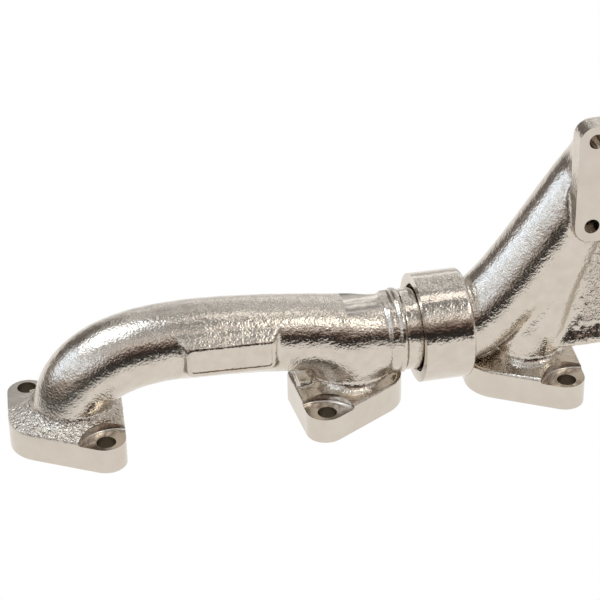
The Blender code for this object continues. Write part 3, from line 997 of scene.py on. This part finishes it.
def seal_ring(hand, index):
    """A split ring with chamfered edges and an open gap, fitted where the CAD ring is."""
    node = f"{hand}_seal_ring_{index}"
    low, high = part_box(node)
    middle = (low.x + high.x) / 2 / MM
    half = (high.x - low.x) / 2 / MM
    outer = (high.y - low.y) / 2 / MM
    inner = outer - RING_DEPTH
    chamfer = RING_CHAMFER
    section = (
        (-half + chamfer, inner), (-half, inner + chamfer), (-half, outer - chamfer),
        (-half + chamfer, outer), (half - chamfer, outer), (half, outer - chamfer),
        (half, inner + chamfer), (half - chamfer, inner),
    )
    gap = math.radians(90.0 + 120.0 * (index - 1))
    half_gap = RING_GAP / 2 / outer
    angles = np.linspace(gap + half_gap, gap + 2 * math.pi - half_gap, 160)
    rings = []
    for angle in angles:
        rings.append([
            (middle + x, radius * math.cos(angle), JOINT_Z + radius * math.sin(angle))
            for x, radius in section
        ])
    mesh = solid_mesh(node + "_fine", [join_rings(rings)])
    mesh.materials.append(MATERIALS["ring"])
    mesh.shade_smooth()
    mesh.set_sharp_from_angle(angle=math.radians(30))
    piece = linked(node + "_fine", mesh)
    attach(piece, f"{hand}_rings")
    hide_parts(node)


# Studio --------------------------------------------------------------------------------------

TABLE_Z = -0.6
SHADE_Z = -0.3
SHADE_SCALE = 0.96
# The way that the table ends, and its brightness by metres that way
TABLE_EDGE_WAY = (-0.85, -0.53, 0.0)
TABLE_STOPS = ((0.0, (1.0, 0.98, 0.95)), (0.42, (1.0, 0.98, 0.95)), (0.49, 0.50), (0.60, 0.06))
# Brightness from the front horizon (0), over the top (0.5), to the back horizon (1)
SKY_STOPS = (
    (0.0, (0.10, 0.09, 0.085)),
    (0.03, (0.04, 0.035, 0.03)),
    (0.09, (0.035, 0.03, 0.03)),
    (0.13, (0.16, 0.11, 0.09)),
    (0.175, (0.42, 0.34, 0.30)),
    (0.22, (0.66, 0.60, 0.56)),
    (0.30, 0.66),
    (0.40, 0.46),
    (0.50, 0.44),
    (0.58, 0.50),
    (0.66, 0.66),
    (0.75, 0.66),
    (0.82, 0.95),
    (0.87, 0.75),
    (0.92, 0.85),
    (1.0, 0.50),
)
# Brightness to either side, from the horizon (0) to straight up (1)
LEFT_STOPS = (
    (0.0, (0.36, 0.31, 0.27)),
    (0.14, (0.48, 0.42, 0.38)),
    (0.30, (0.60, 0.57, 0.55)),
    (0.42, (0.95, 1.03, 1.14)),
    (0.55, (0.90, 0.97, 1.06)),
    (0.75, 0.6),
)
RIGHT_STOPS = (
    (0.0, (0.30, 0.26, 0.23)),
    (0.25, (0.40, 0.36, 0.33)),
    (0.80, 0.52),
)
# How the studio's brightness varies overhead: the patches' size and their brightness
UNEVEN_SIZE = 90.0
UNEVEN_STOPS = ((0.38, 0.35), (0.50, 0.80), (0.62, 2.3))
# Softboxes and one dark screen: the way to each, its sharp and soft half angles, its brightness
PANELS = (
    ((-0.48, 0.78, 0.38), 16.0, 27.0, (0.18, 0.165, 0.155)),
    ((-0.42, 0.10, 0.87), 13.0, 22.0, (2.3, 2.5, 2.7)),
    ((-0.88, 0.20, 0.42), 8.0, 20.0, (1.1, 1.25, 1.45)),
    ((0.47, -0.42, 0.78), 7.0, 12.0, (2.7, 2.6, 2.4)),
    ((0.27, -0.02, 0.96), 5.0, 9.0, (2.6, 2.5, 2.4)),
)
# The camera's place in metres, its yaw, pitch and roll in degrees, and its focal length
CAMERA_PLACE = (-0.51904, -1.24434, 0.86822)
CAMERA_TURN = (11.67, 31.54, -1.04)
CAMERA_LENS = 128.59


def camera():
    place = Vector(CAMERA_PLACE)
    yaw, pitch, roll = (math.radians(turn) for turn in CAMERA_TURN)
    forward = Vector((
        math.sin(yaw) * math.cos(pitch), math.cos(yaw) * math.cos(pitch), -math.sin(pitch)
    ))
    right = Vector((math.cos(yaw), -math.sin(yaw), 0.0))
    up = right.cross(forward)
    turned_right = right * math.cos(roll) + up * math.sin(roll)
    turned_up = up * math.cos(roll) - right * math.sin(roll)
    data = bpy.data.cameras.new("camera")
    data.sensor_width = 36.0
    data.lens = CAMERA_LENS
    data.clip_end = 50.0
    made = linked("camera", data)
    axes = Matrix((turned_right, turned_up, -forward)).transposed().to_4x4()
    made.matrix_world = Matrix.Translation(place) @ axes
    bpy.context.scene.camera = made


def flat_stage(name, outline, height):
    mesh = bpy.data.meshes.new(name)
    corners = [(x * MM, y * MM, height * MM) for x, y in outline]
    mesh.from_pydata(corners, [], [tuple(range(len(corners)))])
    linked(name, mesh)
    return mesh


def floor():
    """A table that the camera sees as plain white, and the castings mirror out to its edge."""
    reach = 12000.0
    outline = ((-reach, -reach), (reach, -reach), (reach, reach), (-reach, reach))
    mesh = flat_stage("floor", outline, TABLE_Z)
    material, shader = new_material("floor", (0.8, 0.8, 0.8), 1.0, 0.0)
    nodes = Nodes(material.node_tree)
    links = material.node_tree.links
    mirrored = nodes.ramp(nodes.along(TABLE_EDGE_WAY), TABLE_STOPS)
    ray = nodes.add("ShaderNodeLightPath")
    glow = nodes.add("ShaderNodeEmission")
    links.new(nodes.blend(ray.outputs["Is Camera Ray"], mirrored, nodes.even(1.0)), glow.inputs["Color"])
    links.new(glow.outputs[0], nodes.tree.nodes["Material Output"].inputs["Surface"])
    material.node_tree.nodes.remove(shader)
    mesh.materials.append(material)


def contact_shade():
    """The shaded table beneath each port flange, seen down its bolt holes."""
    material, shader = new_material("contact_shade", (0.0, 0.0, 0.0), 1.0, 0.0)
    shader.inputs["Specular IOR Level"].default_value = 0.0
    shader.inputs["Emission Color"].default_value = (0.13, 0.12, 0.10, 1.0)
    shader.inputs["Emission Strength"].default_value = 1.0
    for number, hand in ((1, 1), (2, -1), (3, 1), (4, -1), (5, 1), (6, -1)):
        port_x = MOUNTS[f"port_{number}_face"][0]
        outline = [(port_x + x * SHADE_SCALE, y * SHADE_SCALE) for x, y in flange_outline(hand)]
        flat_stage(f"shade_{number}", outline, SHADE_Z).materials.append(material)


def studio_world():
    """Plain white to the camera. The castings mirror a dim studio with softboxes."""
    world = bpy.data.worlds.new("studio")
    world.use_nodes = True
    tree = world.node_tree
    tree.nodes.clear()
    nodes = Nodes(tree, "Generated")
    x, y, z = nodes.axes()
    angle = nodes.math("ARCTAN2", z, nodes.math("MULTIPLY", y, -1.0))
    light = nodes.ramp(nodes.math("DIVIDE", angle, math.pi), SKY_STOPS)
    across = nodes.math("MULTIPLY_ADD", x, 0.5, 0.5)
    left = nodes.ramp(across, ((0.18, 1.0), (0.35, 0.0)))
    right = nodes.ramp(across, ((0.75, 0.0), (0.97, 1.0)))
    light = nodes.blend(left, light, nodes.ramp(z, LEFT_STOPS))
    light = nodes.blend(right, light, nodes.ramp(z, RIGHT_STOPS))
    for way, inner, outer, colour in PANELS:
        edges = ((math.cos(math.radians(outer)), 0.0), (math.cos(math.radians(inner)), 1.0))
        share = nodes.ramp(nodes.along(Vector(way).normalized()), edges)
        light = nodes.blend(share, light, nodes.even(colour))
    uneven = nodes.ramp(nodes.noise(UNEVEN_SIZE, 1.0), UNEVEN_STOPS)
    overhead = nodes.ramp(z, ((0.12, 0.0), (0.35, 1.0)))
    light = nodes.blend(1.0, light, nodes.blend(overhead, nodes.even(1.0), uneven), blend_type="MULTIPLY")
    studio = nodes.add("ShaderNodeBackground")
    tree.links.new(light, studio.inputs["Color"])
    plain = nodes.add("ShaderNodeBackground")
    plain.inputs["Color"].default_value = (1.0, 1.0, 1.0, 1.0)
    shown = nodes.add("ShaderNodeMixShader")
    tree.links.new(nodes.add("ShaderNodeLightPath").outputs["Is Camera Ray"], shown.inputs[0])
    tree.links.new(studio.outputs[0], shown.inputs[1])
    tree.links.new(plain.outputs[0], shown.inputs[2])
    output = nodes.add("ShaderNodeOutputWorld")
    tree.links.new(shown.outputs[0], output.inputs["Surface"])
    bpy.context.scene.world = world


def main():
    MATERIALS.update(cast=cast_material(), machined=machined_material(), ring=ring_material())
    camera()
    floor()
    contact_shade()
    studio_world()
    bpy.context.scene.view_settings.view_transform = "Standard"
    left = end_section()
    right = mirror_copy(left, "right_casting")
    centre = centre_section()
    finish_casting(left, "left_end", "left_section")
    finish_casting(right, "right_end", "right_section")
    finish_casting(centre, "centre", "centre_section")
    for hand, index in itertools.product(("left", "right"), (1, 2, 3)):
        seal_ring(hand, index)


main()
